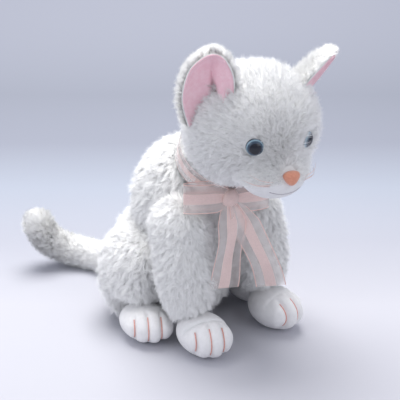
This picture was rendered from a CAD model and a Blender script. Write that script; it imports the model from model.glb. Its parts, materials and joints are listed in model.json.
import json
import math

import bmesh
import bpy
import numpy as np
from mathutils import Matrix, Vector, kdtree
from mathutils.bvhtree import BVHTree


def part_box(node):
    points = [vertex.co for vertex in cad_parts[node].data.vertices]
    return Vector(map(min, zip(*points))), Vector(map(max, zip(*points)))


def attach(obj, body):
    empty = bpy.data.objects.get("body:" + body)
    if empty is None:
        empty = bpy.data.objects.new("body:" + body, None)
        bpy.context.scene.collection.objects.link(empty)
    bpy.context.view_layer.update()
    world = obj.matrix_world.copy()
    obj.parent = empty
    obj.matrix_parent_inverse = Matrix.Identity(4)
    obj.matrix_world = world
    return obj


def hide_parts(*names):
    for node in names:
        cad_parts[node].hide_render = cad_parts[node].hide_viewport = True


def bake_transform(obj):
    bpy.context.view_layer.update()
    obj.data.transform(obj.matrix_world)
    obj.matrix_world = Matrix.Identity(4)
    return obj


# Looks of the seated plush cat. Metres, +Z up; the cat faces -Y and its right side is at -X.
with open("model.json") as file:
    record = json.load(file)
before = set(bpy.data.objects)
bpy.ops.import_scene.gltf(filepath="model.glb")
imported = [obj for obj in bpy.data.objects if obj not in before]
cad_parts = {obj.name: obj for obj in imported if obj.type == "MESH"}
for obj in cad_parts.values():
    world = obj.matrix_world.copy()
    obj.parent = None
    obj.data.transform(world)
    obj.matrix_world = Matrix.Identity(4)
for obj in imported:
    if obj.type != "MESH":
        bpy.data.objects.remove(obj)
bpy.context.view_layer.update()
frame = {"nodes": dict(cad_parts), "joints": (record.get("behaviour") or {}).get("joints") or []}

MM = 0.001
SIDES = (("right", -1), ("left", 1))
SEED = 20

# How the head is turned on the body, in degrees: about Z, then X, then Y.
HEAD_TURN = -5.0
HEAD_BOW = 15.0
HEAD_ROLL = 4.0


# ---------------------------------------------------------------- places read from the frame

def middle(node):
    low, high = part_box(node)
    return (low + high) / 2


def joint(name):
    return next(j for j in frame["joints"] if j["name"] == name)


def turn(degrees, axis):
    return Matrix.Rotation(math.radians(degrees), 3, axis)


HEAD_FRAME = turn(HEAD_TURN, "Z") @ turn(HEAD_BOW, "X") @ turn(HEAD_ROLL, "Y")
HEAD_MIDDLE = middle("head_skin")
NECK_MIDDLE = middle("neck_skin")


def on_head(x, y, z):
    """A point in the head's own frame, in millimetres, as a point of the scene."""
    return HEAD_MIDDLE + HEAD_FRAME @ Vector((x, y, z)) * MM


# ---------------------------------------------------------------- materials

def new_material(name, colour, roughness=0.8, specular=0.3, sheen=0.0, alpha=1.0, coat=0.0):
    """A Principled material with constant finish values, and its shader and node tree to add to."""
    material = bpy.data.materials.new(name)
    material.use_nodes = True
    tree = material.node_tree
    shader = tree.nodes["Principled BSDF"]
    shader.inputs["Base Color"].default_value = (*colour, 1)
    shader.inputs["Roughness"].default_value = roughness
    shader.inputs["Specular IOR Level"].default_value = specular
    shader.inputs["Sheen Weight"].default_value = sheen
    shader.inputs["Sheen Roughness"].default_value = 0.5
    shader.inputs["Coat Weight"].default_value = coat
    shader.inputs["Coat Roughness"].default_value = 0.04
    shader.inputs["Alpha"].default_value = alpha
    return material, shader, tree


def node(tree, kind, **inputs):
    """A new node with some of its inputs set; an underscore in a name stands for a space."""
    made = tree.nodes.new(kind)
    for name, value in inputs.items():
        made.inputs[name.replace("_", " ")].default_value = value
    return made


def ramp(tree, source, stops):
    """A colour ramp fed by a socket, with (position, colour) stops."""
    made = tree.nodes.new("ShaderNodeValToRGB")
    elements = made.color_ramp.elements
    while len(elements) < len(stops):
        elements.new(0.5)
    for element, (position, colour) in zip(elements, stops):
        element.position = position
        element.color = (*colour, 1)
    tree.links.new(source, made.inputs["Fac"])
    return made.outputs["Color"]


def fur_material(name, root, tip, spread):
    """Pile: darker at its roots, bright at its tips, and a little different from strand to strand."""
    material, shader, tree = new_material(name, tip, 0.42, 0.55, 0.2)
    place = tree.nodes.new("ShaderNodeUVMap")
    place.uv_map = "OFBake"
    parts = tree.nodes.new("ShaderNodeSeparateXYZ")
    tree.links.new(place.outputs["UV"], parts.inputs["Vector"])
    along = ramp(tree, parts.outputs["Y"], ((0.0, root), (0.7, tip)))
    strand = tree.nodes.new("ShaderNodeTexWhiteNoise")
    strand.noise_dimensions = "1D"
    cell = tree.nodes.new("ShaderNodeMath")
    cell.operation = "SNAP"
    cell.inputs[1].default_value = 1 / 64
    tree.links.new(parts.outputs["X"], cell.inputs[0])
    tree.links.new(cell.outputs["Value"], strand.inputs["W"])
    shade = ramp(tree, strand.outputs["Value"], ((0.0, (1 - spread,) * 3), (1.0, (1, 1, 1))))
    mix = tree.nodes.new("ShaderNodeMix")
    mix.data_type = "RGBA"
    mix.blend_type = "MULTIPLY"
    mix.inputs["Factor"].default_value = 1
    tree.links.new(along, mix.inputs["A"])
    tree.links.new(shade, mix.inputs["B"])
    tree.links.new(mix.outputs["Result"], shader.inputs["Base Color"])
    return material


def nap_material(name, light, dark, scale, bump):
    """Short-nap fabric: soft blotches of brushed pile with fine grain in the bump."""
    material, shader, tree = new_material(name, light, 0.85, 0.2, 0.35)
    coordinates = tree.nodes.new("ShaderNodeTexCoord").outputs["Object"]
    blotch = node(tree, "ShaderNodeTexNoise", Scale=scale, Detail=4.0, Roughness=0.6)
    grain = node(tree, "ShaderNodeTexNoise", Scale=1400.0, Detail=2.0, Roughness=0.7)
    for noise in (blotch, grain):
        tree.links.new(coordinates, noise.inputs["Vector"])
    colour = ramp(tree, blotch.outputs["Fac"], ((0.3, dark), (0.62, light)))
    tree.links.new(colour, shader.inputs["Base Color"])
    relief = node(tree, "ShaderNodeBump", Strength=bump, Distance=0.0006)
    tree.links.new(grain.outputs["Fac"], relief.inputs["Height"])
    tree.links.new(relief.outputs["Normal"], shader.inputs["Normal"])
    return material


def ribbon_material(name, colour, alpha, roughness, sheen):
    """Ribbon cloth with fine crosswise threads in its colour."""
    material, shader, tree = new_material(name, colour, roughness, 0.4, sheen, alpha)
    coordinates = tree.nodes.new("ShaderNodeTexCoord").outputs["Object"]
    weave = node(tree, "ShaderNodeTexNoise", Scale=900.0, Detail=1.0)
    tree.links.new(coordinates, weave.inputs["Vector"])
    darker = tuple(c * 0.93 for c in colour)
    shade = ramp(tree, weave.outputs["Fac"], ((0.35, darker), (0.65, colour)))
    tree.links.new(shade, shader.inputs["Base Color"])
    return material


def thread_material(name, colour):
    """Twisted thread: a fine wave of light and dark along it."""
    material, shader, tree = new_material(name, colour, 0.6, 0.3, 0.2)
    coordinates = tree.nodes.new("ShaderNodeTexCoord").outputs["Object"]
    twist = node(tree, "ShaderNodeTexNoise", Scale=1200.0, Detail=1.0)
    tree.links.new(coordinates, twist.inputs["Vector"])
    darker = tuple(c * 0.8 for c in colour)
    shade = ramp(tree, twist.outputs["Fac"], ((0.4, darker), (0.6, colour)))
    tree.links.new(shade, shader.inputs["Base Color"])
    return material


BODY_FUR = fur_material("body_fur", (0.80, 0.80, 0.785), (0.985, 0.985, 0.98), 0.06)
HEAD_FUR = fur_material("head_fur", (0.84, 0.84, 0.83), (0.985, 0.985, 0.98), 0.05)
BACKING = nap_material("fur_backing", (0.88, 0.88, 0.87), (0.82, 0.82, 0.81), 180.0, 0.4)
FACE_NAP = nap_material("face_nap", (0.80, 0.80, 0.81), (0.74, 0.74, 0.75), 260.0, 0.5)
PAW_NAP = nap_material("paw_nap", (0.93, 0.92, 0.92), (0.87, 0.86, 0.86), 240.0, 0.5)
PINK_NAP = nap_material("pink_nap", (0.94, 0.65, 0.71), (0.90, 0.56, 0.63), 300.0, 0.5)
CORAL = thread_material("coral_thread", (0.86, 0.42, 0.36))
GREY_THREAD = thread_material("grey_thread", (0.50, 0.48, 0.52))
PALE_THREAD = thread_material("pale_pink_thread", (0.95, 0.76, 0.72))
ORGANZA = ribbon_material("organza", (0.95, 0.84, 0.81), 0.30, 0.5, 0.2)
SATIN = ribbon_material("satin_stripe", (0.84, 0.64, 0.60), 0.90, 0.32, 0.3)
RIBBON_EDGE = ribbon_material("ribbon_edge", (0.84, 0.58, 0.53), 0.9, 0.5, 0.2)


# ---------------------------------------------------------------- mesh helpers

def link(name, data):
    made = bpy.data.objects.new(name, data)
    bpy.context.scene.collection.objects.link(made)
    return made


def shade_smooth(mesh):
    mesh.polygons.foreach_set("use_smooth", [True] * len(mesh.polygons))


def ring_faces(first, rows, around):
    """Quads between neighbouring rings of around points each, from the point numbered first."""
    faces = []
    for row in range(rows):
        for step in range(around):
            a = first + row * around + step
            b = first + row * around + (step + 1) % around
            faces.append((a, b, b + around, a + around))
    return faces


def new_object(name, vertices, faces, materials):
    mesh = bpy.data.meshes.new(name)
    mesh.from_pydata([tuple(v) for v in vertices], [], [tuple(f) for f in faces])
    for material in materials:
        mesh.materials.append(material)
    shade_smooth(mesh)
    return link(name, mesh)


def points_of(thing):
    points = np.empty(len(thing.data.vertices) * 3)
    thing.data.vertices.foreach_get("co", points)
    return points.reshape(-1, 3)


def normals_of(thing):
    normals = np.empty(len(thing.data.vertices) * 3)
    thing.data.vertex_normals.foreach_get("vector", normals)
    return normals.reshape(-1, 3)


def set_points(thing, points):
    thing.data.vertices.foreach_set("co", np.ascontiguousarray(points, float).ravel())
    thing.data.update()


def apply_modifiers(thing):
    bpy.context.view_layer.update()
    evaluated = thing.evaluated_get(bpy.context.evaluated_depsgraph_get())
    mesh = bpy.data.meshes.new_from_object(evaluated)
    thing.modifiers.clear()
    old = thing.data
    thing.data = mesh
    bpy.data.meshes.remove(old)


def smooth_mesh(thing, rounds):
    mesh = bmesh.new()
    mesh.from_mesh(thing.data)
    for _ in range(rounds):
        bmesh.ops.smooth_vert(mesh, verts=mesh.verts, factor=0.5,
                              use_axis_x=True, use_axis_y=True, use_axis_z=True)
    mesh.to_mesh(thing.data)
    mesh.free()
    thing.data.update()


def shrink_round(name, centre, nodes, grow, subdivisions=5):
    """A round mesh drawn in from all sides onto the outside of some CAD nodes, then grown a little."""
    depsgraph = bpy.context.evaluated_depsgraph_get()
    trees = [BVHTree.FromObject(frame["nodes"][n], depsgraph) for n in nodes]
    ball = bmesh.new()
    bmesh.ops.create_icosphere(ball, subdivisions=subdivisions, radius=1)
    reach = 0.4
    for vertex in ball.verts:
        direction = vertex.co.normalized()
        start = centre + direction * reach
        hits = [tree.ray_cast(start, -direction, reach) for tree in trees]
        distances = [reach - hit[3] for hit in hits if hit[0] is not None]
        vertex.co = centre + direction * (max(distances, default=0.01) + grow)
    mesh = bpy.data.meshes.new(name)
    ball.to_mesh(mesh)
    ball.free()
    return link(name, mesh)


def remesh(thing, voxel, rounds):
    modifier = thing.modifiers.new("remesh", "REMESH")
    modifier.mode = "VOXEL"
    modifier.voxel_size = voxel
    apply_modifiers(thing)
    smooth_mesh(thing, rounds)
    shade_smooth(thing.data)


CLOTH_FRAMES = 15


def puff(thing, pressure, cap):
    """Cloth under a little pressure, so that the skin sits like stuffed fabric. No point moves past cap."""
    before = points_of(thing)
    cloth = thing.modifiers.new("cloth", "CLOTH")
    settings = cloth.settings
    settings.use_pressure = True
    settings.uniform_pressure_force = pressure
    settings.effector_weights.gravity = 0
    settings.tension_stiffness = 25
    settings.compression_stiffness = 25
    settings.bending_stiffness = 2
    settings.quality = 4
    scene = bpy.context.scene
    for step in range(CLOTH_FRAMES):
        scene.frame_set(1 + step)
    apply_modifiers(thing)
    scene.frame_set(1)
    after = points_of(thing)
    shift = after - before
    length = np.linalg.norm(shift, axis=1, keepdims=True)
    shift *= np.minimum(1, cap / np.maximum(length, 1e-9))
    set_points(thing, before + shift)


def on_floor(thing, clearance):
    """Presses the piece flat where it would pass through the surface that the cat sits on."""
    points = points_of(thing)
    points[:, 2] = np.maximum(points[:, 2], clearance)
    set_points(thing, points)


# ---------------------------------------------------------------- fur

def sample_surface(thing, count, draw):
    """Random points of a mesh, evenly by area, with their smooth normals."""
    mesh = thing.data
    mesh.calc_loop_triangles()
    triangles = np.empty(len(mesh.loop_triangles) * 3, int)
    mesh.loop_triangles.foreach_get("vertices", triangles)
    triangles = triangles.reshape(-1, 3)
    points, normals = points_of(thing), normals_of(thing)
    corner = points[triangles]
    area = np.linalg.norm(np.cross(corner[:, 1] - corner[:, 0], corner[:, 2] - corner[:, 0]), axis=1)
    chosen = draw.choice(len(triangles), count, p=area / area.sum())
    one, two = draw.random(count), draw.random(count)
    flip = one + two > 1
    one[flip], two[flip] = 1 - one[flip], 1 - two[flip]
    weights = np.stack([1 - one - two, one, two], 1)[..., None]
    place = (points[triangles[chosen]] * weights).sum(1)
    normal = unit((normals[triangles[chosen]] * weights).sum(1))
    return place, normal


def unit(vectors):
    return vectors / np.maximum(np.linalg.norm(vectors, axis=-1, keepdims=True), 1e-9)


def nearest(centres, points):
    """The index of the nearest centre to each point."""
    tree = kdtree.KDTree(len(centres))
    for index, centre in enumerate(centres):
        tree.insert(centre, index)
    tree.balance()
    return np.array([tree.find(point)[1] for point in points])


# A blade has three pairs of points and a tip: how far up each level is, and its share of the full width.
LEVELS = np.array([0.0, 0.38, 0.72, 1.0])
WIDTHS = np.array([1.0, 0.9, 0.6])
BLADE_POINTS = 7
BLADE_FACES = np.array([0, 1, 3, 2, 2, 3, 5, 4, 4, 5, 6])
FACE_STARTS = np.array([0, 4, 8])
POINT_RISES = np.array([0.02, 0.02, 0.38, 0.38, 0.72, 0.72, 0.98])
LOWEST_STRAND = 0.4 * MM
LOWEST_EDGE = 0.3 * MM


def strand_tips(draw, root, normal, brushed, long, lean, clump, tie, droop):
    """The end of each strand, the way that it stands at its root, and the tuft that it belongs to."""
    count = len(root)
    direction = unit(normal * (1 - lean) + brushed * lean + draw.normal(0, 0.16, (count, 3)))
    centre = draw.choice(count, max(1, int(count / clump)), replace=False)
    tuft = centre[nearest(root[centre], root)]
    swing = draw.normal(0, 0.38, (count, 3))[tuft]
    tuft_way = unit(direction[tuft] + swing
                    - (swing * normal[tuft]).sum(1, keepdims=True) * normal[tuft] * 0.5)
    tuft_tip = root[tuft] + tuft_way * long[tuft] * 1.1
    tied = tie * (0.6 + 0.4 * draw.random(count))[:, None]
    tip = (root + direction * long) * (1 - tied) + (tuft_tip + (root - root[tuft]) * 0.3) * tied
    tip[:, 2] -= droop * long[:, 0]
    return tip, direction, tuft


def blade_mesh(name, draw, levels, side, half, material):
    """One mesh of tapered blades; its UV map holds a number for each blade, and the height up it."""
    count = len(levels)
    verts = np.empty((count, BLADE_POINTS, 3))
    for level, wide in enumerate(WIDTHS):
        verts[:, level * 2] = levels[:, level] - side * half * wide
        verts[:, level * 2 + 1] = levels[:, level] + side * half * wide
    verts[:, 6] = levels[:, 3]
    verts[..., 2] = np.maximum(verts[..., 2], LOWEST_EDGE)
    corners = (np.arange(count)[:, None] * BLADE_POINTS + BLADE_FACES).ravel()
    starts = (np.arange(count)[:, None] * len(BLADE_FACES) + FACE_STARTS).ravel()
    mesh = bpy.data.meshes.new(name)
    mesh.vertices.add(count * BLADE_POINTS)
    mesh.vertices.foreach_set("co", verts.ravel())
    mesh.loops.add(len(corners))
    mesh.loops.foreach_set("vertex_index", corners.astype(np.int32))
    mesh.polygons.add(count * len(FACE_STARTS))
    mesh.polygons.foreach_set("loop_start", starts.astype(np.int32))
    mesh.materials.append(material)
    across = draw.random(count)[:, None] + np.where(np.arange(BLADE_POINTS) % 2 == 0, -0.002, 0.002)
    rises = np.broadcast_to(POINT_RISES[BLADE_FACES], (count, len(BLADE_FACES)))
    places = np.stack([across[:, BLADE_FACES], rises], -1)
    layer = mesh.uv_layers.new(name="OFBake")
    layer.data.foreach_set("uv", np.clip(places, 0.0, 1.0).ravel().astype(np.float32))
    mesh.update(calc_edges=True)
    mesh.validate()
    shade_smooth(mesh)
    return mesh


def grow_fur(name, skin, material, count, flow, seed, *, length, width, lean, clump, tie, wave, droop=0.0,
             keep=None, shorten=None, soft=True):
    """A pile of tapered blades rooted in a skin.

    flow gives the way that the pile is brushed at each point, and lean how far it lies over. Strands near
    one another end together in tufts clump apart, tied by tie. keep says which points have pile, and
    shorten the share of the full length there. A soft pile is shaded like the skin under it and casts no
    shadow, as fine translucent fibre hardly does.
    """
    draw = np.random.default_rng(SEED + seed)
    count = count
    width = width
    root, normal = sample_surface(skin, count, draw)
    if keep is not None:
        kept = keep(root, normal)
        root, normal = root[kept], normal[kept]
    count = len(root)
    brushed = flow(root, normal)
    brushed = unit(brushed - (brushed * normal).sum(1, keepdims=True) * normal)
    long = length * (0.72 + 0.5 * draw.random(count))[:, None]
    if shorten is not None:
        long = long * shorten(root, normal)[:, None]
    tip, direction, tuft = strand_tips(draw, root, normal, brushed, long, lean, clump, tie, droop)
    reach = unit(tip - root)
    tip = root + reach * np.minimum(np.linalg.norm(tip - root, axis=1, keepdims=True), long * 1.35)
    bend = root + (normal * 0.6 + direction * 0.4) * long * 0.45
    side = unit(np.cross(reach, normal) + 1e-6)
    phase = draw.random(count)[tuft] * 2 * math.pi
    levels = []
    for share in LEVELS:
        place = root * (1 - share) ** 2 + bend * 2 * share * (1 - share) + tip * share ** 2
        sway = wave * long * share * np.sin(phase + share * 5.0)[:, None]
        levels.append(place + side * sway)
    levels = np.stack(levels, 1)
    levels[..., 2] = np.maximum(levels[..., 2], LOWEST_STRAND)
    half = width / 2 * (0.75 + 0.5 * draw.random(count))[:, None]
    mesh = blade_mesh(name, draw, levels, side, half, material)
    if soft:
        outward = unit(np.cross(side, reach))
        shading = unit(normal * 0.62 + outward * 0.38 + draw.normal(0, 0.22, (count, 3)))
        mesh.normals_split_custom_set_from_vertices(np.repeat(shading, BLADE_POINTS, axis=0).tolist())
    made = link(name, mesh)
    made.visible_shadow = not soft
    return made


# ---------------------------------------------------------------- camera, light and floor

def look_at(thing, target):
    thing.rotation_euler = (target - thing.location).to_track_quat("-Z", "Y").to_euler()


CAMERA_AZIMUTH = -40


def make_camera():
    """The camera stands to the cat's right front, a little higher than its head."""
    azimuth, elevation, distance = math.radians(CAMERA_AZIMUTH), math.radians(22), 1.2
    aim = Vector((0.0037, -0.028, 0.1065))
    back = Vector((math.sin(azimuth) * math.cos(elevation), -math.cos(azimuth) * math.cos(elevation),
                   math.sin(elevation)))
    data = bpy.data.cameras.new("camera")
    data.lens = 128.6
    data.sensor_width = 36
    camera = link("camera", data)
    camera.location = aim + back * distance
    look_at(camera, aim)
    bpy.context.scene.camera = camera


def add_area_light(name, place, target, width, power, colour):
    data = bpy.data.lights.new(name, "AREA")
    data.shape = "SQUARE"
    data.size = width
    data.energy = power
    data.color = colour
    light = link(name, data)
    light.location = place
    look_at(light, Vector(target))


def make_light():
    add_area_light("top_light", (0.15, 0.35, 1.3), (0, 0, 0.1), 0.9, 21.0, (1.0, 0.99, 0.98))
    add_area_light("left_light", (-1.2, 0.1, 0.8), (0, 0, 0.12), 0.8, 3.2, (0.95, 0.97, 1.0))
    add_area_light("front_light", (0.2, -1.4, 0.7), (0, 0, 0.1), 1.0, 3.0, (0.98, 0.98, 1.0))
    world = bpy.data.worlds.new("world")
    world.use_nodes = True
    background = world.node_tree.nodes["Background"]
    background.inputs["Color"].default_value = (0.80, 0.83, 0.92, 1)
    background.inputs["Strength"].default_value = 0.63
    bpy.context.scene.world = world


def make_floor():
    """A wide pale floor, darker and bluer some way behind the cat; the ramp's 1 is 2 m away."""
    material, shader, tree = new_material("floor", (0.7, 0.7, 0.8), 0.9, 0.1)
    coordinates = tree.nodes.new("ShaderNodeTexCoord").outputs["Object"]
    way = math.radians(CAMERA_AZIMUTH)
    distance = node(tree, "ShaderNodeVectorMath")
    distance.operation = "DOT_PRODUCT"
    distance.inputs[1].default_value = (-math.sin(way) / 2, math.cos(way) / 2, 0)
    tree.links.new(coordinates, distance.inputs[0])
    shade = ramp(tree, distance.outputs["Value"], (
        (0.0, (0.57, 0.57, 0.62)), (0.07, (0.46, 0.47, 0.53)), (0.14, (0.40, 0.43, 0.50)),
        (0.21, (0.31, 0.325, 0.385)), (0.30, (0.30, 0.315, 0.37)), (0.55, (0.47, 0.485, 0.56))))
    tree.links.new(shade, shader.inputs["Base Color"])
    half = 8.0
    verts = [(-half, -half, 0), (half, -half, 0), (half, half, 0), (-half, half, 0)]
    new_object("floor", verts, [(0, 1, 2, 3)], [material])


# ---------------------------------------------------------------- skins and pile

# The recipes of the shaggy pile: a soft layer, and longer tufts over it that cast shadows.
BODY_PILE = {"length": 8.5 * MM, "width": 0.42 * MM, "lean": 0.60, "clump": 14, "tie": 0.6,
             "wave": 0.14, "droop": 0.10}
BODY_TUFTS = {"length": 10 * MM, "width": 0.30 * MM, "lean": 0.52, "clump": 12, "tie": 0.72,
              "wave": 0.2, "droop": 0.06, "soft": False}
LEG_PILE = {**BODY_PILE, "width": 0.46 * MM}
NECK_PILE = {"length": 8 * MM, "width": 0.44 * MM, "lean": 0.55, "clump": 12, "tie": 0.6, "wave": 0.14}
NECK_TUFTS = {"length": 9 * MM, "width": 0.32 * MM, "lean": 0.5, "clump": 11, "tie": 0.7, "wave": 0.2,
              "soft": False}
HEAD_PILE = {"length": 5.5 * MM, "width": 0.34 * MM, "lean": 0.66, "clump": 14, "tie": 0.5, "wave": 0.1}
HEAD_TUFTS = {"length": 8.0 * MM, "width": 0.26 * MM, "lean": 0.42, "clump": 9, "tie": 0.6, "wave": 0.16,
              "soft": False}
TAIL_PILE = {"length": 8.0 * MM, "width": 0.38 * MM, "lean": 0.46, "clump": 11, "tie": 0.6, "wave": 0.18}
TAIL_TUFTS = {"length": 8.5 * MM, "width": 0.34 * MM, "lean": 0.46, "clump": 8, "tie": 0.65, "wave": 0.2,
              "soft": False}
EAR_PILE = {"length": 6.0 * MM, "width": 0.34 * MM, "lean": 0.5, "clump": 10, "tie": 0.5, "wave": 0.12}
EAR_TUFTS = {"length": 8.5 * MM, "width": 0.34 * MM, "lean": 0.50, "clump": 7, "tie": 0.6, "wave": 0.2,
             "soft": False}
EAR_FRINGE = {"length": 7.5 * MM, "width": 0.34 * MM, "lean": 0.35, "clump": 9, "tie": 0.6, "wave": 0.2}

# The pile of the body and the head is kept in quarters, split between right and left and by height.
HALVES = (("upper", 1), ("lower", -1))
QUARTERS = [(word, side, level, sign) for word, side in SIDES for level, sign in HALVES]


def flow_down(root, normal):
    way = np.zeros_like(root)
    way[:, 2] = -1.0
    way[:, 1] = 0.35
    return way


def flow_from(point, extra):
    """Pile brushed away from a point."""
    origin = np.array(point)
    return lambda root, normal: unit(root - origin) + np.array(extra)


def soft_skin(name, centre, nodes, grow, voxel, rounds, pressure=0.0, cap=0.0):
    """A cover drawn onto CAD nodes, remeshed and, with a pressure, puffed out."""
    skin = shrink_round(name, centre, nodes, grow)
    remesh(skin, voxel, rounds)
    if pressure:
        puff(skin, pressure, cap)
    skin.data.materials.append(BACKING)
    return skin


def make_torso():
    low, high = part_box("body_skin_right")
    waist = 62 * MM
    hem = 1.5 * MM
    centre = Vector((0, (low.y + high.y) / 2 + 4 * MM, 72 * MM))
    nodes = ("body_skin_right", "body_skin_left", "thigh_skin_right", "thigh_skin_left")
    skin = soft_skin("body_cover", centre, nodes, -4.0 * MM, 3.2 * MM, 5, 1.0, 2 * MM)
    on_floor(skin, 0.4 * MM)
    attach(skin, "torso")
    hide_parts(*nodes, "body_stuffing", "thigh_stuffing_right", "thigh_stuffing_left",
                "pellet_pouch", "pellet_fill")
    for word, side, level, sign in QUARTERS:
        def keep(root, normal, side=side, sign=sign):
            return (root[:, 0] * side > 0) & ((root[:, 2] - waist) * sign > 0) & (root[:, 2] > hem)

        place, seed = f"{level}_{word}", 3 * side + sign
        for pile in (grow_fur(f"body_pile_{place}", skin, BODY_FUR, 110000, flow_down, seed,
                              keep=keep, **BODY_PILE),
                     grow_fur(f"body_tufts_{place}", skin, BODY_FUR, 80000, flow_down, 50 + seed,
                              keep=keep, **BODY_TUFTS)):
            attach(pile, "torso")


def make_neck():
    skin = soft_skin("neck_cover", NECK_MIDDLE, ("neck_skin",), -1.5 * MM, 3.2 * MM, 2)
    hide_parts("neck_skin", "neck_stuffing")
    for piece in (skin, grow_fur("neck_pile", skin, BODY_FUR, 16000, flow_down, 7, **NECK_PILE),
                  grow_fur("neck_tufts", skin, BODY_FUR, 12000, flow_down, 8, **NECK_TUFTS)):
        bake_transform(piece)


# Where the eyes and the nose sit, in the head's own frame and in millimetres.
EYE_PLACES = {"right": -26.5, "left": 22.5}
EYE_RISE = 6.5
NOSE_RISE = -13.5


def head_coordinates(root):
    """Points in the head's own frame, in millimetres."""
    return (root - np.array(HEAD_MIDDLE)) @ np.array(HEAD_FRAME) / MM


def muzzle_share(root):
    """1 on the smooth muzzle, falling to 0 where the pile has its full length."""
    place = head_coordinates(root)
    offset = (place - np.array([0, -46, -34])) / np.array([30, 30, 18])
    distance = np.linalg.norm(offset, axis=1)
    return np.clip((1.42 - distance) / 0.42, 0, 1)


def near_features(place):
    """Where an eye or the nose sits on the face, so that no pile grows through it."""
    front = place[:, 1] < -20
    by_eye = np.zeros(len(place), bool)
    for x in EYE_PLACES.values():
        by_eye |= np.hypot(place[:, 0] - x, place[:, 2] - EYE_RISE) < 7.6
    by_nose = np.hypot(place[:, 0], (place[:, 2] - NOSE_RISE) * 1.2) < 7.5
    return front & (by_eye | by_nose)


def make_head():
    """The head with its smooth muzzle, which is the same cover with a shorter pile or none."""
    skin = soft_skin("head_cover", on_head(0, -4, -2), ("head_skin", "muzzle_panel"), -2.2 * MM, 2.6 * MM, 6,
                     1.0, 1.5 * MM)
    mesh = skin.data
    mesh.materials.append(FACE_NAP)
    middles = np.array([p.center for p in mesh.polygons])
    mesh.polygons.foreach_set("material_index", (muzzle_share(middles) > 0.25).astype(int))
    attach(skin, "head")
    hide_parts("head_skin", "head_stuffing", "muzzle_panel")
    away = flow_from(on_head(0, -60, -12), (0, 0, -0.35))

    def shorten(root, normal):
        return 0.25 + 0.75 * (1 - muzzle_share(root))

    for word, side, level, sign in QUARTERS:
        def keep(root, normal, side=side, sign=sign):
            place = head_coordinates(root)
            bare = (muzzle_share(root) > 0.97) | near_features(place)
            return (place[:, 0] * side > 0) & (place[:, 2] * sign > 0) & ~bare

        place, seed = f"{level}_{word}", 3 * side + sign
        for pile in (grow_fur(f"head_pile_{place}", skin, HEAD_FUR, 110000, away, 10 + seed,
                              keep=keep, shorten=shorten, **HEAD_PILE),
                     grow_fur(f"head_tufts_{place}", skin, HEAD_FUR, 34000, away, 70 + seed,
                              keep=keep, shorten=shorten, **HEAD_TUFTS)):
            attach(pile, "head")
    return skin


def make_front_legs():
    for word, side in SIDES:
        node_name = f"front_leg_skin_{word}"
        skin = soft_skin(f"front_leg_cover_{word}", middle(node_name), (node_name,), -2.5 * MM, 2.8 * MM, 4,
                         1.0, 1.5 * MM)
        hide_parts(node_name, f"front_leg_stuffing_{word}")
        for piece in (skin, grow_fur(f"front_leg_pile_{word}", skin, BODY_FUR, 34000, flow_down, 20 + side,
                                     **LEG_PILE),
                      grow_fur(f"front_leg_tufts_{word}", skin, BODY_FUR, 26000, flow_down, 24 + side,
                               **BODY_TUFTS)):
            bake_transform(piece)


TOE_PITCH = 11 * MM
TOE_TURNS = {"front": {"right": -24, "left": 8}, "hind": {"right": -32, "left": 20}}


def sculpt_toes(paw, centre, half, facing, seam_depth):
    """Presses grooves between four toes into the front of a paw, and a seam across behind them."""
    across = np.array([-facing.y, facing.x, 0.0])
    ahead = np.array(facing)
    points = points_of(paw)
    offset = points - np.array(centre)
    x, front = offset @ across, offset @ ahead / half.y
    high = offset[:, 2] / half.z
    nearest_line = np.abs(x[:, None] - TOE_PITCH * np.array([-1, 0, 1])).min(-1)
    groove = np.exp(-(nearest_line / (1.7 * MM)) ** 2)
    toes = np.clip((front - 0.30) / 0.22, 0, 1) * np.clip((high + 0.95) / 0.4, 0, 1)
    round_toe = np.sqrt(np.clip(nearest_line / (TOE_PITCH / 2), 0, 1))
    arc = front - 0.34 + 0.9 * (x / half.x) ** 2 * 0.25
    seam = np.exp(-(arc / 0.055) ** 2) * np.clip((high - 0.05) / 0.3, 0, 1)
    push = (1.5 * round_toe - 1.9 * groove) * toes - seam_depth * seam
    points = points + normals_of(paw) * (push * MM)[:, None]
    points[:, 2] = np.maximum(points[:, 2], 0.0)
    set_points(paw, points)


def paw_piece(kind, word, body, node_name, seam_depth):
    """A smooth stuffed paw with sculpted toes, and its coral stitches."""
    low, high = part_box(node_name)
    centre, half = (low + high) / 2, (high - low) / 2
    facing = turn(TOE_TURNS[kind][word], "Z") @ Vector((0, -1, 0))
    across = Vector((-facing.y, facing.x, 0))
    paw = shrink_round(f"{kind}_paw_cover_{word}", centre, (node_name,), -0.8 * MM, 6)
    sculpt_toes(paw, centre, half, facing, seam_depth)
    smooth_mesh(paw, 1)
    shade_smooth(paw.data)
    paw.data.materials.append(PAW_NAP)
    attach(paw, body)
    tree = BVHTree.FromObject(paw, bpy.context.evaluated_depsgraph_get())
    lines = []
    for number in (-1, 0, 1):
        line = []
        for step in range(15):
            angle = math.radians(-24 + 68 * step / 14)
            way = facing * math.cos(angle) + Vector((0, 0, math.sin(angle)))
            aim = centre + across * number * TOE_PITCH + facing * 2 * MM - Vector((0, 0, 2 * MM))
            hit = tree.ray_cast(aim + way * 0.08, -way, 0.08)
            if hit[0] is not None and hit[0].z > 1.2 * MM:
                line.append(hit[0] + way * 0.2 * MM)
        lines.append(line)
    thread = tube_group(f"{kind}_toe_stitch_lines_{word}", lines, 0.5 * MM, CORAL)
    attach(thread, body)
    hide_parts(f"{kind}_toe_stitches_{word}")
    return paw


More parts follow.
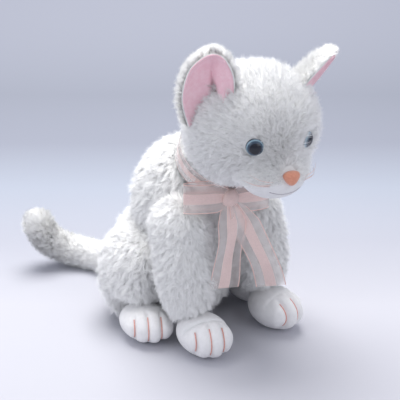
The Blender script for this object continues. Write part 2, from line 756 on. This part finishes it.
def tube_group(name, lines, radius, material, sides=6, taper=False):
    """Thin round tubes along some lines of points, as one piece."""
    verts, faces = [], []
    for line in lines:
        first = len(verts)
        for index, point in enumerate(line):
            before = line[max(index - 1, 0)]
            after = line[min(index + 1, len(line) - 1)]
            way = (after - before).normalized()
            if index == 0:
                across = way.orthogonal().normalized()
            else:
                across = (across - way * across.dot(way)).normalized()
            up = way.cross(across)
            share = index / (len(line) - 1)
            size = radius * (1 - 0.85 * share if taper else 1)
            for corner in range(sides):
                angle = 2 * math.pi * corner / sides
                verts.append(point + (across * math.cos(angle) + up * math.sin(angle)) * size)
        faces += ring_faces(first, len(line) - 1, sides)
        last = first + (len(line) - 1) * sides
        faces.append(tuple(first + corner for corner in reversed(range(sides))))
        faces.append(tuple(last + corner for corner in range(sides)))
    return new_object(name, verts, faces, [material])


def make_paws():
    for word, side in SIDES:
        seam_depth = 1.3 if word == "right" else 0.5
        front = paw_piece("front", word, f"front_leg_{word}", f"front_paw_{word}", seam_depth)
        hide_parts(f"front_paw_{word}")
        hind = paw_piece("hind", word, f"hind_foot_{word}", f"hind_paw_{word}", 0.0)
        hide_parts(f"hind_paw_{word}", f"hind_paw_stuffing_{word}")


# ---------------------------------------------------------------- tail

def smooth_line(points, count):
    """Evenly spaced points on a smooth curve through control points."""
    curve = bpy.data.curves.new("line", "CURVE")
    curve.dimensions = "3D"
    spline = curve.splines.new("NURBS")
    spline.points.add(len(points) - 1)
    for control, point in zip(spline.points, points):
        control.co = (*point, 1)
    spline.order_u = 3
    spline.use_endpoint_u = True
    spline.resolution_u = 24
    holder = bpy.data.objects.new("line", curve)
    mesh = bpy.data.meshes.new_from_object(holder)
    dense = np.array([v.co for v in mesh.vertices])
    bpy.data.objects.remove(holder)
    bpy.data.curves.remove(curve)
    bpy.data.meshes.remove(mesh)
    steps = np.concatenate([[0], np.cumsum(np.linalg.norm(np.diff(dense, axis=0), axis=1))])
    wanted = np.linspace(0, steps[-1], count)
    return np.stack([np.interp(wanted, steps, dense[:, axis]) for axis in range(3)], 1)


def sausage(name, line, radius):
    """A round tube with domed ends along a line; radius is a function of the share of the length."""
    sides = 28
    verts = []
    rows = len(line)
    across = Vector((0, 0, 1))
    for index in range(rows):
        before = Vector(line[max(index - 1, 0)])
        after = Vector(line[min(index + 1, rows - 1)])
        way = (after - before).normalized()
        across = (across - way * across.dot(way)).normalized()
        up = way.cross(across)
        size = radius(index / (rows - 1))
        for corner in range(sides):
            angle = 2 * math.pi * corner / sides
            verts.append(Vector(line[index]) + (across * math.cos(angle) + up * math.sin(angle)) * size)
    faces = ring_faces(0, rows - 1, sides)
    faces.append(tuple(reversed(range(sides))))
    faces.append(tuple((rows - 1) * sides + corner for corner in range(sides)))
    tube = new_object(name, verts, faces, [BACKING])
    mesh = bmesh.new()
    mesh.from_mesh(tube.data)
    bmesh.ops.recalc_face_normals(mesh, faces=mesh.faces)
    mesh.to_mesh(tube.data)
    mesh.free()
    return tube


def domed(full, start, end):
    """Full radius along a tube, rounded off over its first and last shares."""
    def radius(share):
        near = min(1, share / start)
        far = min(1, (1 - share) / end)
        return full * math.sqrt(max(1 - (1 - near) ** 2, 0.0004)) * math.sqrt(max(1 - (1 - far) ** 2, 0.0004))
    return radius


TAIL_RADIUS = 9.3 * MM
CAD_TAIL_RADIUS = 11.5 * MM
TAIL_COURSE = ((0, -5, 0), (-4, 22, 0), (-18, 43, 2), (-37, 55, 13))


def make_tail():
    root = Vector(joint("tail_swing")["pos_m"])
    bend = Vector(joint("tail_curl")["pos_m"])
    low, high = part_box("tail_tip_skin")
    tip = Vector((low.x + CAD_TAIL_RADIUS, high.y - CAD_TAIL_RADIUS, high.z - CAD_TAIL_RADIUS))
    base_points = [root - Vector((0, 8, -4)) * MM, (root + bend) / 2, bend + Vector((-0.5, 3, 0)) * MM]
    tip_points = [bend + Vector(step) * MM for step in TAIL_COURSE] + [tip, tip + Vector((-4, 1, 10)) * MM]
    tip_line = smooth_line(tip_points, 60)
    base = sausage("tail_base_cover", smooth_line(base_points, 24), domed(TAIL_RADIUS, 0.2, 0.2))
    far = sausage("tail_tip_cover", tip_line, domed(TAIL_RADIUS, 0.06, 0.1))
    to_tip = np.array(tip)
    stops = tip_line[::6]
    last = len(stops) - 1

    def along_tail(root_points, normal):
        index = np.abs(root_points[:, None, 1] - stops[None, :, 1]).argmin(1)
        onward = stops[np.minimum(index + 1, last)] - stops[np.minimum(index, last - 1)]
        return unit(to_tip - root_points) * 0.4 + unit(onward)

    def backward(root_points, normal):
        return np.tile([0.0, 1.0, 0.0], (len(root_points), 1))

    for name, skin, share, flow, hinge, bodies, seed in (
            ("tail_base", base, 1, backward, root, ("torso", "tail_base"), 30),
            ("tail_tip", far, 3, along_tail, bend, ("tail_base", "tail_tip"), 32)):
        soft = grow_fur(f"{name}_pile", skin, BODY_FUR, 10000 * share, flow, seed, **TAIL_PILE)
        guard = grow_fur(f"{name}_tufts", skin, BODY_FUR, 2600 * share, flow, seed + 1, **TAIL_TUFTS)
        for piece in (skin, soft, guard):
            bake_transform(piece)
        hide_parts(f"{name}_skin", f"{name}_stuffing")


# ---------------------------------------------------------------- face

def orient(thing, place, outward, up):
    """Turns a piece made round its own origin, with +Z outward and +Y up, and sets it in place."""
    across = up.cross(outward).normalized()
    real_up = outward.cross(across).normalized()
    rotation = Matrix((across, real_up, outward)).transposed()
    thing.matrix_world = Matrix.Translation(place) @ rotation.to_4x4()


EYE_RADIUS = 7.0
EYE_DOME = 5.2


def eye_material():
    """Domed plastic: a black pupil, a dark blue-grey iris, a pale ring and a dark rim."""
    material, shader, tree = new_material("eye_plastic", (0.02, 0.02, 0.03), 0.07, 0.4, coat=0.2)
    coordinates = tree.nodes.new("ShaderNodeTexCoord").outputs["Object"]
    flat = node(tree, "ShaderNodeVectorMath")
    flat.operation = "MULTIPLY"
    flat.inputs[1].default_value = (1000 / EYE_RADIUS, 1000 / EYE_RADIUS, 0)
    tree.links.new(coordinates, flat.inputs[0])
    reach = node(tree, "ShaderNodeVectorMath")
    reach.operation = "LENGTH"
    tree.links.new(flat.outputs["Vector"], reach.inputs[0])
    colour = ramp(tree, reach.outputs["Value"], (
        (0.0, (0.006, 0.008, 0.014)), (0.60, (0.008, 0.010, 0.020)), (0.66, (0.03, 0.045, 0.07)),
        (0.84, (0.06, 0.10, 0.15)), (0.89, (0.30, 0.44, 0.54)), (0.95, (0.30, 0.42, 0.50)),
        (0.99, (0.04, 0.05, 0.07))))
    tree.links.new(colour, shader.inputs["Base Color"])
    return material


def eye_dome(name, material):
    """A dome round +Z, closed underneath."""
    rings, around = 18, 40
    verts = [(0, 0, EYE_DOME * MM)]
    for ring in range(1, rings + 1):
        angle = math.pi / 2 * ring / rings
        wide = EYE_RADIUS * MM * math.sin(angle)
        rise = EYE_DOME * MM * math.cos(angle)
        for step in range(around):
            turn_by = 2 * math.pi * step / around
            verts.append((wide * math.cos(turn_by), wide * math.sin(turn_by), rise))
    faces = [(0, 1 + step, 1 + (step + 1) % around) for step in range(around)]
    faces += [(a, d, c, b) for a, b, c, d in ring_faces(1, rings - 1, around)]
    faces.append(tuple(1 + (rings - 1) * around + step for step in range(around)))
    return new_object(name, verts, faces, [material])


def make_eyes(head):
    tree = BVHTree.FromObject(head, bpy.context.evaluated_depsgraph_get())
    material = eye_material()
    for word, side in SIDES:
        outward = (HEAD_FRAME @ Vector((side * 0.50, -0.85, 0.10))).normalized()
        hit = tree.ray_cast(on_head(EYE_PLACES[word], -80, EYE_RISE), HEAD_FRAME @ Vector((0, 1, 0)), 0.1)
        eye = eye_dome(f"eye_dome_{word}", material)
        orient(eye, hit[0] + outward * 0.3 * MM, outward, Vector((0, 0, 1)))
        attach(eye, "head")
        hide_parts(f"eye_{word}", f"eye_{word}_washer")


def make_nose(head):
    """A soft rounded triangle, wide at the top, in brushed terracotta flock."""
    material = nap_material("nose_flock", (0.74, 0.33, 0.22), (0.64, 0.26, 0.17), 500.0, 0.4)
    material.node_tree.nodes["Principled BSDF"].inputs["Roughness"].default_value = 0.5
    ball = bmesh.new()
    bmesh.ops.create_icosphere(ball, subdivisions=5, radius=1)
    for vertex in ball.verts:
        x, y, z = vertex.co
        width = 8.6 * (0.82 + 0.34 * y)
        top = 0.86 if y > 0 else 1.08
        vertex.co = Vector((x * width, y * 6.0 * top, max(z, -0.4) * 5.2)) * MM
    mesh = bpy.data.meshes.new("nose_pad")
    ball.to_mesh(mesh)
    ball.free()
    nose = link("nose_pad", mesh)
    shade_smooth(mesh)
    mesh.materials.append(material)
    tree = BVHTree.FromObject(head, bpy.context.evaluated_depsgraph_get())
    outward = (HEAD_FRAME @ Vector((0, -0.92, 0.38))).normalized()
    place = tree.ray_cast(on_head(0, -90, NOSE_RISE), HEAD_FRAME @ Vector((0, 1, 0)), 0.1)[0] + outward * MM
    orient(nose, place, outward, HEAD_FRAME @ Vector((0, 0, 1)))
    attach(nose, "head")
    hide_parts("nose", "nose_washer")


def make_mouth(head):
    tree = BVHTree.FromObject(head, bpy.context.evaluated_depsgraph_get())
    line = []
    for step in range(21):
        share = step / 20 * 2 - 1
        aim = on_head(share * 8.5 - 1, -34, -26.5 + 2.0 * share ** 2)
        way = (HEAD_FRAME @ Vector((share * 0.3, -1, -0.05))).normalized()
        hit = tree.ray_cast(aim + way * 0.08, -way, 0.12)
        if hit[0] is not None:
            line.append(hit[0] + way * 0.1 * MM)
    mouth = tube_group("mouth_line", [line], 0.3 * MM, GREY_THREAD)
    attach(mouth, "head")
    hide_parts("mouth_stitch")


def make_whiskers(head):
    tree = BVHTree.FromObject(head, bpy.context.evaluated_depsgraph_get())
    for word, side in SIDES:
        threads = []
        for number, (rise, end_rise) in enumerate(((2.0, 5.0), (0.0, 0.5), (-1.5, 2.0))):
            aim = on_head(side * (15 + number), -90, -19 + rise)
            start = tree.ray_cast(aim, HEAD_FRAME @ Vector((0, 1, 0)), 0.1)[0]
            run = HEAD_FRAME @ Vector((side * 15.5, 13.5 + number, end_rise)) * MM
            way = (HEAD_FRAME @ Vector((side * 0.6, -1, 0))).normalized()
            lift = way * 6.5 * MM
            shares = np.linspace(0, 1, 9)
            line = [start + run * share + lift * math.sin(share * math.pi * 0.75) for share in shares]
            threads.append(line)
        piece = tube_group(f"whisker_threads_{word}", threads, 0.42 * MM, PALE_THREAD, taper=True)
        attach(piece, "head")
        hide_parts(f"whiskers_{word}")


# ---------------------------------------------------------------- ears

# The outline of an ear in its own frame, in millimetres: x away from the middle of the head, z up. The outer
# and the inner edge both run from the base to the tip.
EAR_OUTER_EDGE = ((19, -36), (23, -12), (17, 11), (6, 22.5), (-2, 25))
EAR_INNER_EDGE = ((-17, -8), (-16.5, 6), (-12, 18), (-7, 23.5), (-2, 25))
EARS = {"right": (Vector((-47.5, 3, 41.5)), 0, 1.0), "left": (Vector((46.5, -4.6, 41.0)), 22, 0.93)}


def along_edge(edge, rise):
    """A point of an ear's edge, by its share of the way from base to tip."""
    place = rise * (len(edge) - 1)
    index = min(int(place), len(edge) - 2)
    share = place - index
    points = [Vector(edge[min(max(i, 0), len(edge) - 1)]) for i in range(index - 1, index + 3)]
    one, two, three, four = points
    return 0.5 * ((2 * two) + (three - one) * share + (2 * one - 5 * two + 4 * three - four) * share ** 2
                  + (3 * two - one - 3 * three + four) * share ** 3)


def ear_point(side, rise, across, back):
    """A point of the cupped ear: rise is 0 to 1 from base to tip, across -1 to 1 from inner to outer edge."""
    inner, outer = along_edge(EAR_INNER_EDGE, rise), along_edge(EAR_OUTER_EDGE, rise)
    flat = inner.lerp(outer, (across + 1) / 2)
    width = min(1.0, (outer - inner).length / 30)
    low = max(0.0, 1 - rise / 0.55)
    cup = 9.0 * (1 - across ** 2) * width
    ridge = 7.5 * math.exp(-((across + 0.52) / 0.20) ** 2) * low
    crease = 6.5 * math.exp(-((across + 0.22) / 0.10) ** 2) * low
    return Vector((side * flat.x, cup - ridge + crease - 4.0 + back, flat.y))


def ear_sheet(name, side, back, inset, frame_of_ear, material):
    rows, columns = 34, 48
    verts, faces = [], []
    for row in range(rows + 1):
        rise = row / rows * (1 - inset * 0.15)
        for column in range(columns + 1):
            across = (column / columns * 2 - 1) * (1 - inset)
            verts.append(frame_of_ear @ (ear_point(side, rise, across, back) * MM))
    for row in range(rows):
        for column in range(columns):
            a = row * (columns + 1) + column
            quad = (a, a + 1, a + columns + 2, a + columns + 1)
            faces.append(quad if side < 0 else tuple(reversed(quad)))
    return new_object(name, verts, faces, [material])


def thicken(thing, thickness):
    modifier = thing.modifiers.new("solid", "SOLIDIFY")
    modifier.thickness = thickness
    modifier.offset = 0
    apply_modifiers(thing)
    shade_smooth(thing.data)


def make_ears():
    for word, side in SIDES:
        place, lean, scale = EARS[word]
        rotation = HEAD_FRAME @ turn(side * 32, "Z") @ turn(side * 14, "Y") @ turn(lean, "X")
        frame_of_ear = Matrix.Translation(on_head(*place)) @ rotation.to_4x4() @ Matrix.Scale(scale, 4)
        lining = ear_sheet(f"ear_lining_cover_{word}", side, 0.0, 0.05, frame_of_ear, PINK_NAP)
        thicken(lining, 1.2 * MM)
        cover = ear_sheet(f"ear_back_cover_{word}", side, 1.6, 0.0, frame_of_ear, BACKING)
        thicken(cover, 1.2 * MM)
        behind = np.array(rotation @ Vector((0, 1, 0)))
        outward = np.array(rotation @ Vector((side, 0, 0)))
        up = np.array(rotation @ Vector((0, 0, 1)))
        to_local = np.array(frame_of_ear.inverted())
        lining_points = points_of(lining)

        def keep(root, normal, behind=behind, lining_points=lining_points):
            place = lining_points[nearest(lining_points, root)]
            beyond = np.linalg.norm(place - root, axis=1) > 1.45 * MM
            return ((normal @ behind) > 0.25) | (beyond & ((normal @ behind) > -0.5))

        def brushed(root, normal, up=up, behind=behind, outward=outward, to_local=to_local, side=side):
            flat = (root @ to_local[:3, :3].T + to_local[:3, 3]) / MM
            spread = np.clip(flat[:, :1] * side / 20, -1, 1)
            return up + outward * spread + behind * 0.4

        def keep_rim(root, normal, behind=behind, keep=keep):
            return (np.abs(normal @ behind) < 0.85) & keep(root, normal)

        pile = grow_fur(f"ear_pile_{word}", cover, HEAD_FUR, 60000, brushed, 40 + side, keep=keep, **EAR_PILE)
        tufts = grow_fur(f"ear_tufts_{word}", cover, HEAD_FUR, 9000, brushed, 44 + side, keep=keep,
                         **EAR_TUFTS)
        fringe = grow_fur(f"ear_fringe_{word}", cover, HEAD_FUR, 60000, brushed, 48 + side, keep=keep_rim,
                          **EAR_FRINGE)
        for piece in (lining, cover, pile, tufts, fringe):
            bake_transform(piece)
        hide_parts(f"ear_lining_{word}")
        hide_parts(f"ear_back_{word}")


# ---------------------------------------------------------------- ribbon

RIBBON_WIDTH = 25.0
BANDS = (-1.0, -0.93, -0.36, 0.36, 0.93, 1.0)
BAND_SLOTS = (2, 0, 1, 0, 2)


def ribbon_strip(name, centres, acrosses, widths):
    """A flat ribbon: a line of middle points, the direction across it and its half width at each."""
    shares = []
    for low, high in zip(BANDS, BANDS[1:]):
        steps = 3 if high - low > 0.2 else 1
        shares += [low + (high - low) * step / steps for step in range(steps)]
    shares.append(1.0)
    verts, faces, slots = [], [], []
    for centre, across, half in zip(centres, acrosses, widths):
        for share in shares:
            verts.append(centre + across * half * share)
    columns = len(shares)
    for row in range(len(centres) - 1):
        for column in range(columns - 1):
            a = row * columns + column
            faces.append((a, a + 1, a + columns + 1, a + columns))
            share = (shares[column] + shares[column + 1]) / 2
            band = next(i for i in range(5) if BANDS[i] <= share <= BANDS[i + 1])
            slots.append(BAND_SLOTS[band])
    strip = new_object(name, verts, faces, [ORGANZA, SATIN, RIBBON_EDGE])
    strip.data.polygons.foreach_set("material_index", slots)
    return strip


def finish_ribbon(piece, body, cad_node):
    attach(piece, body)
    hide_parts(cad_node)


KNOT = middle("ribbon_knot")

# Which way each hanging end faces, in degrees, and how far its foot is from the middle of its CAD plate.
HANGING_FACES = {"right": -20, "left": -30}
HANGING_SHIFTS = {"right": -8, "left": 5}


def make_hanging_end(word, side):
    """An end of the bow: gathered at the knot, opening to its full width and waving a little."""
    low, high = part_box(f"ribbon_end_{word}")
    top = KNOT + Vector((side * 2, -2, -4)) * MM
    bottom_middle = Vector(((low.x + high.x) / 2 + HANGING_SHIFTS[word] * MM, high.y, low.z))
    if side > 0:
        bottom_middle.y = low.y + 9 * MM
    facing = math.radians(HANGING_FACES[word])
    rows = 34
    centres, acrosses, widths = [], [], []
    for row in range(rows + 1):
        share = row / rows
        centre = top.lerp(bottom_middle, share)
        bulge = 5.0 * math.sin(share * math.pi) + 1.2 * math.sin(share * 9 + side)
        centre += Vector((0, -1, 0)) * MM * bulge
        angle = facing + 0.25 * math.sin(share * 5 + side)
        centres.append(centre)
        acrosses.append(Vector((math.cos(angle), math.sin(angle), 0.05 * math.sin(share * 7))).normalized())
        widths.append(RIBBON_WIDTH / 2 * MM * (0.32 + 0.68 * min(1, share / 0.22) ** 0.7))
    piece = ribbon_strip(f"ribbon_hanging_{word}", centres, acrosses, widths)
    finish_ribbon(piece, f"ribbon_end_{word}", f"ribbon_end_{word}")


def make_loop(word, side):
    """A loop of the bow: out from the knot, round and back."""
    centre = middle(f"ribbon_loop_{word}")
    out = Vector((centre.x - KNOT.x, centre.y - KNOT.y, 0))
    reach = out.length + (15 * MM if side < 0 else 13 * MM)
    out.normalize()
    normal = Vector((out.y, -out.x, 0))
    if normal.y > 0:
        normal = -normal
    up = Vector((0, 0, 1))
    rows = 44
    centres, acrosses, widths = [], [], []
    for row in range(rows + 1):
        share = row / rows
        angle = share * 2 * math.pi
        along = reach * (0.5 - 0.5 * math.cos(angle))
        away = 5.0 * MM * math.sin(angle) * (0.4 + 0.6 * math.sin(share * math.pi))
        rise = up * (centre.z - KNOT.z) * math.sin(share * math.pi)
        centres.append(KNOT + out * along + normal * away + rise)
        lean = 0.10 * math.sin(angle)
        acrosses.append((up + out * lean).normalized())
        widths.append(RIBBON_WIDTH / 2 * MM * (0.30 + 0.70 * min(1, math.sin(share * math.pi) * 1.7)))
    piece = ribbon_strip(f"ribbon_bow_{word}", centres, acrosses, widths)
    finish_ribbon(piece, "torso", f"ribbon_loop_{word}")


def make_neckband():
    """The ribbon round the neck, narrowed into soft folds where it is drawn tight."""
    lean = math.radians(35)
    axis = Vector((0, -math.sin(lean), math.cos(lean)))
    front = Vector((0, -math.cos(lean), -math.sin(lean)))
    right = Vector((-1, 0, 0))
    rows = 72
    centres, acrosses, widths = [], [], []
    radius = 33.5 * MM
    for row in range(rows + 1):
        angle = 2 * math.pi * row / rows + math.radians(22)
        way = front * math.cos(angle) + right * math.sin(angle)
        centres.append(NECK_MIDDLE + way * radius - axis * 6 * MM)
        acrosses.append((axis + way * 0.18).normalized())
        widths.append(9.5 * MM)
    piece = ribbon_strip("ribbon_round_neck", centres, acrosses, widths)
    finish_ribbon(piece, "torso", "ribbon_neckband")


def make_knot():
    """The crossed turns of ribbon that hold the bow."""
    rows, around = 20, 36
    verts = []
    half = Vector((8.5, 6.0, 7.5))
    for row in range(rows + 1):
        angle = math.pi * row / rows
        for step in range(around):
            turn_by = 2 * math.pi * step / around
            fold = 1 + 0.07 * math.sin(turn_by * 5 + row * 0.35)
            verts.append(KNOT + Vector((half.x * math.sin(angle) * math.cos(turn_by) * fold,
                                        half.y * math.sin(angle) * math.sin(turn_by) * fold,
                                        half.z * math.cos(angle))) * MM)
    knot = new_object("ribbon_knot_cover", verts, ring_faces(0, rows, around), [SATIN])
    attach(knot, "torso")
    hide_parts("ribbon_knot")


# ---------------------------------------------------------------- the whole cat

bpy.context.scene.view_settings.view_transform = "Standard"
make_camera()
make_light()
make_floor()
make_torso()
make_neck()
head_cover = make_head()
make_front_legs()
make_paws()
make_tail()
make_eyes(head_cover)
make_nose(head_cover)
make_mouth(head_cover)
make_whiskers(head_cover)
make_ears()
make_knot()
for word, side in SIDES:
    make_hanging_end(word, side)
    make_loop(word, side)
make_neckband()
